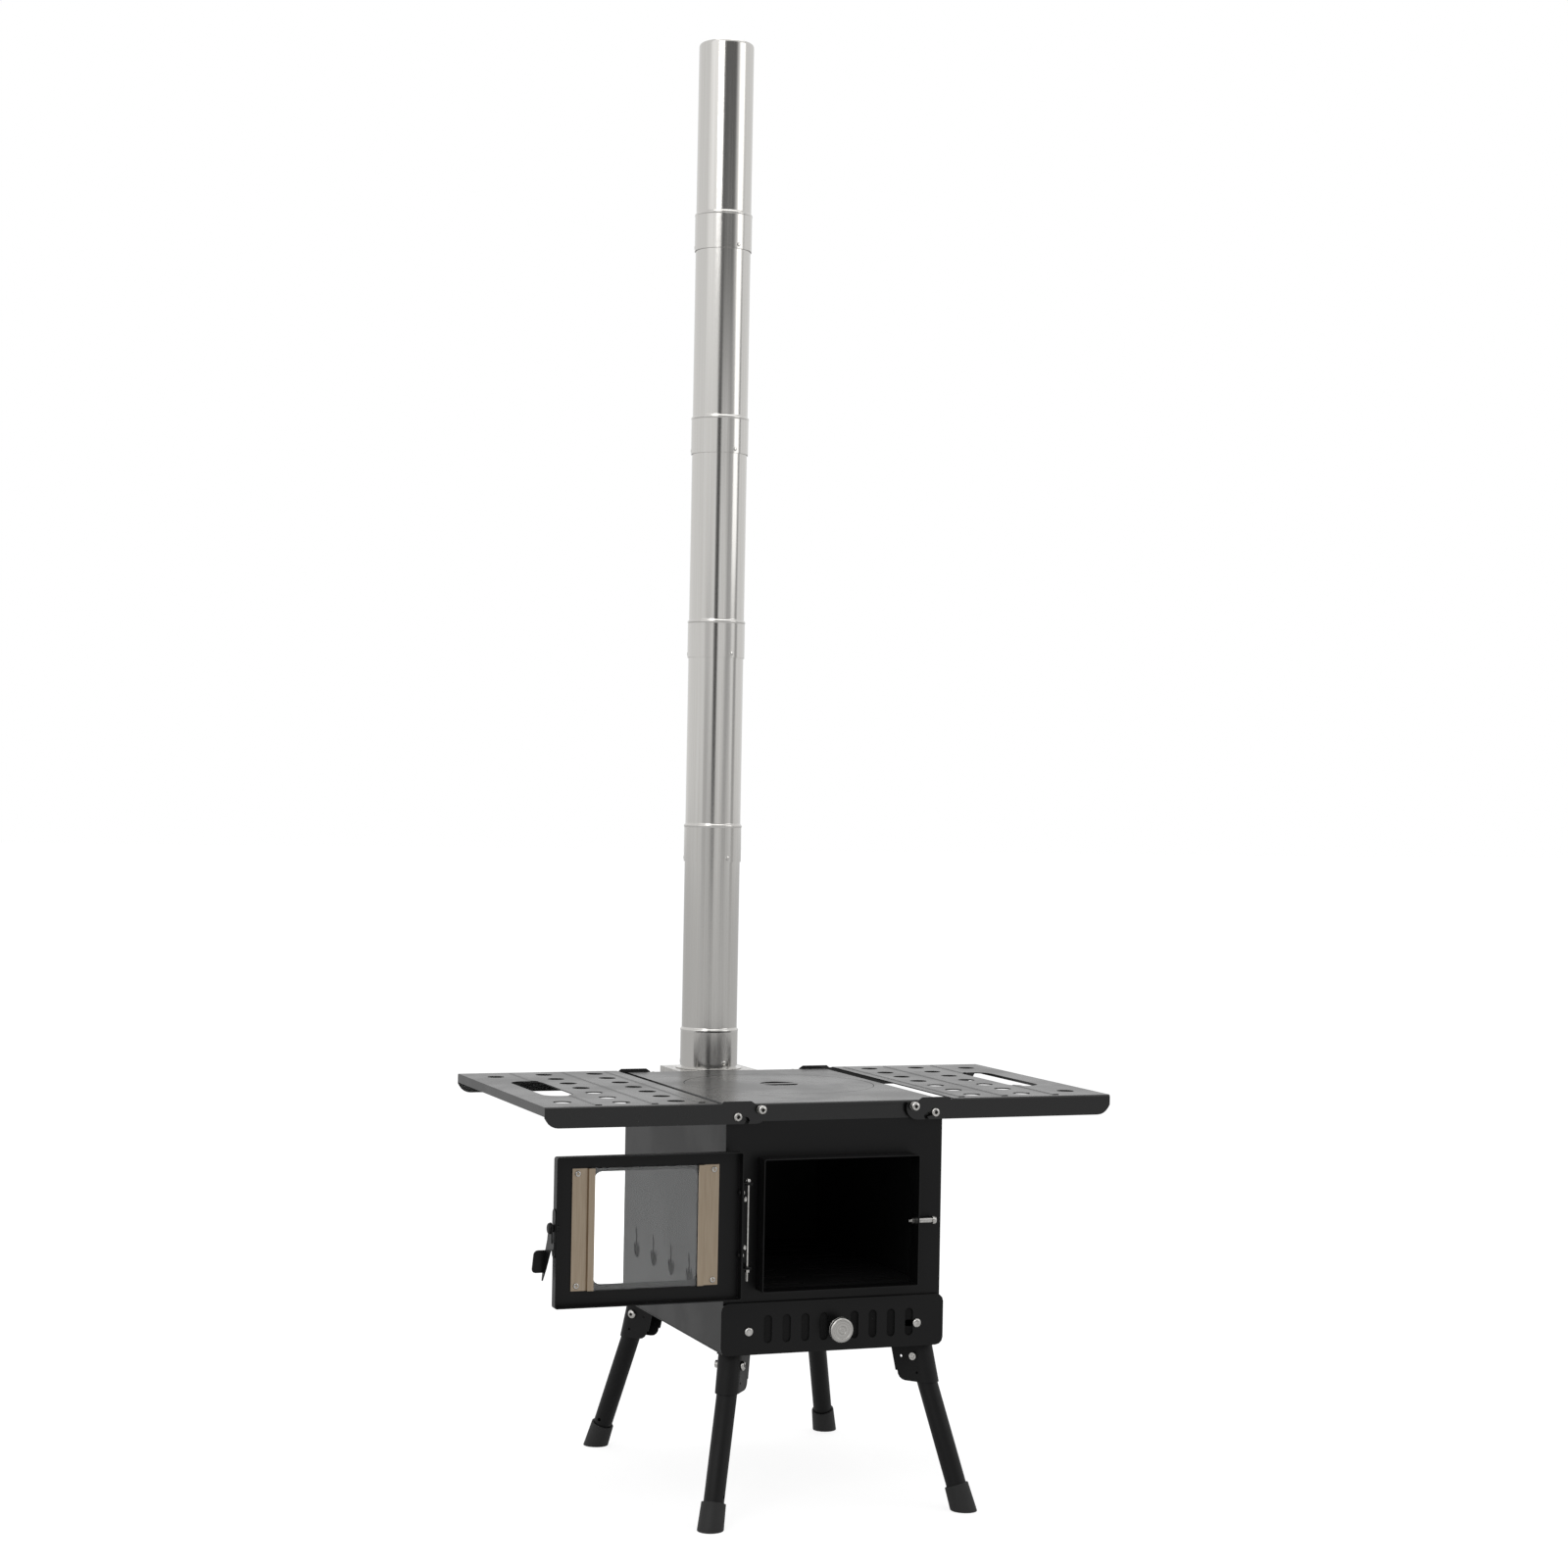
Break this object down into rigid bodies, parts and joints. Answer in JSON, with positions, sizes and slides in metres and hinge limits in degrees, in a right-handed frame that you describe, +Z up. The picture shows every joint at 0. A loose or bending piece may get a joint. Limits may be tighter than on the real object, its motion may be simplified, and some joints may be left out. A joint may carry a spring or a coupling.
{
  "type": "tent wood stove",
  "caption": "Folding tent wood stove with glass door, side shelves, sliding air damper, lift-off cooking lid, splayed folding legs and a stacked chimney behind.",
  "frame": {"origin": "on the floor, under the middle of the whole stove", "axes": "+Z up, +X to the right seen from the front, +Y to the back; the firebox door faces -Y"},
  "size_m": [0.7973, 0.5989, 2.0152],
  "materials": {
    "black_paint": "satin",
    "inner_steel": "matt",
    "stainless": "bright brushed",
    "screw_steel": "bright",
    "clamp_steel": "satin, heat tinted",
    "foot_rubber": "matt",
    "clear_glass": "clear"
  },
  "bodies": {
    "stove": {"cooktop_plate": "black_paint", "front_panel": "black_paint", "door_collar": "black_paint", "rear_panel": "black_paint", "bottom_panel": "black_paint", "side_panel_left": "black_paint", "side_panel_right": "black_paint", "side_liner_left": "inner_steel", "side_liner_right": "inner_steel", "fire_grate": "inner_steel", "ash_panel": "black_paint", "ash_panel_screw_left": "screw_steel", "ash_panel_screw_right": "screw_steel", "body_hinge_leaf": "black_paint", "hinge_bolt": "screw_steel", "catch_pin": "screw_steel", "flue_box": "stainless", "flue_spigot": "stainless", "shelf_pivot_front_left": "screw_steel", "shelf_stop_front_left": "screw_steel", "shelf_pivot_front_right": "screw_steel", "shelf_stop_front_right": "screw_steel", "shelf_pivot_rear_left": "screw_steel", "shelf_stop_rear_left": "screw_steel", "shelf_pivot_rear_right": "screw_steel", "shelf_stop_rear_right": "screw_steel", "leg_bracket_front_left": "black_paint", "leg_pivot_front_left": "screw_steel", "leg_bracket_front_right": "black_paint", "leg_pivot_front_right": "screw_steel", "leg_bracket_rear_left": "black_paint", "leg_pivot_rear_left": "screw_steel", "leg_bracket_rear_right": "black_paint", "leg_pivot_rear_right": "screw_steel"},
    "lid": {"cook_lid": "black_paint"},
    "shelf_left": {"shelf_left": "black_paint"},
    "shelf_right": {"shelf_right": "black_paint"},
    "door": {"door_frame": "black_paint", "door_glass": "clear_glass", "glass_clamp_hinge_side": "clamp_steel", "glass_clamp_latch_side": "clamp_steel", "door_hinge_leaf": "black_paint", "latch_plate": "black_paint", "latch_pivot": "black_paint"},
    "latch": {"latch_lever": "black_paint"},
    "damper": {"damper_plate": "black_paint", "damper_knob": "stainless"},
    "leg_front_left": {"leg_tube_front_left": "black_paint", "foot_cap_front_left": "foot_rubber"},
    "leg_front_right": {"leg_tube_front_right": "black_paint", "foot_cap_front_right": "foot_rubber"},
    "leg_rear_left": {"leg_tube_rear_left": "black_paint", "foot_cap_rear_left": "foot_rubber"},
    "leg_rear_right": {"leg_tube_rear_right": "black_paint", "foot_cap_rear_right": "foot_rubber"},
    "pipe_1": {"pipe_section_1": "stainless"},
    "pipe_2": {"pipe_section_2": "stainless"},
    "pipe_3": {"pipe_section_3": "stainless"},
    "pipe_4": {"pipe_section_4": "stainless"},
    "pipe_5": {"pipe_section_5": "stainless"}
  },
  "joints": [
    {"name": "door_hinge", "type": "hinge", "parent": "stove", "child": "door", "pos_m": [-0.128, -0.271, 0.38], "axis": [0, 0, 1], "range_deg": [0, 180]},
    {"name": "latch_turn", "type": "hinge", "parent": "door", "child": "latch", "pos_m": [-0.3879, -0.2733, 0.386], "axis": [1, 0, 0], "range_deg": [-12, 70]},
    {"name": "damper_slide", "type": "slide", "parent": "stove", "child": "damper", "axis": [1, 0, 0], "range_m": [0, 0.0128]},
    {"name": "shelf_right_fold", "type": "hinge", "parent": "stove", "child": "shelf_right", "pos_m": [0.1372, -0.036, 0.515], "axis": [0, -1, 0], "range_deg": [0, 78]},
    {"name": "shelf_left_fold", "type": "hinge", "parent": "stove", "child": "shelf_left", "pos_m": [-0.1372, -0.036, 0.515], "axis": [0, 1, 0], "range_deg": [0, 78]},
    {"name": "lid_lift", "type": "slide", "parent": "stove", "child": "lid", "axis": [0, 0, 1], "range_m": [0, 0.1]},
    {"name": "leg_front_left_fold", "type": "hinge", "parent": "stove", "child": "leg_front_left", "pos_m": [-0.1318, -0.2268, 0.195], "axis": [0.7869, -0.617, 0], "range_deg": [0, 79]},
    {"name": "leg_front_right_fold", "type": "hinge", "parent": "stove", "child": "leg_front_right", "pos_m": [0.1318, -0.2268, 0.195], "axis": [0.7869, 0.617, 0], "range_deg": [0, 79]},
    {"name": "leg_rear_left_fold", "type": "hinge", "parent": "stove", "child": "leg_rear_left", "pos_m": [-0.1318, 0.1548, 0.195], "axis": [-0.7869, -0.617, 0], "range_deg": [0, 79]},
    {"name": "leg_rear_right_fold", "type": "hinge", "parent": "stove", "child": "leg_rear_right", "pos_m": [0.1318, 0.1548, 0.195], "axis": [-0.7869, 0.617, 0], "range_deg": [0, 79]},
    {"name": "pipe_1_lift", "type": "slide", "parent": "stove", "child": "pipe_1", "axis": [0, 0, 1], "range_m": [0, 0.06]},
    {"name": "pipe_2_lift", "type": "slide", "parent": "pipe_1", "child": "pipe_2", "axis": [0, 0, 1], "range_m": [0, 0.06]},
    {"name": "pipe_3_lift", "type": "slide", "parent": "pipe_2", "child": "pipe_3", "axis": [0, 0, 1], "range_m": [0, 0.06]},
    {"name": "pipe_4_lift", "type": "slide", "parent": "pipe_3", "child": "pipe_4", "axis": [0, 0, 1], "range_m": [0, 0.06]},
    {"name": "pipe_5_lift", "type": "slide", "parent": "pipe_4", "child": "pipe_5", "axis": [0, 0, 1], "range_m": [0, 0.06]}
  ]
}
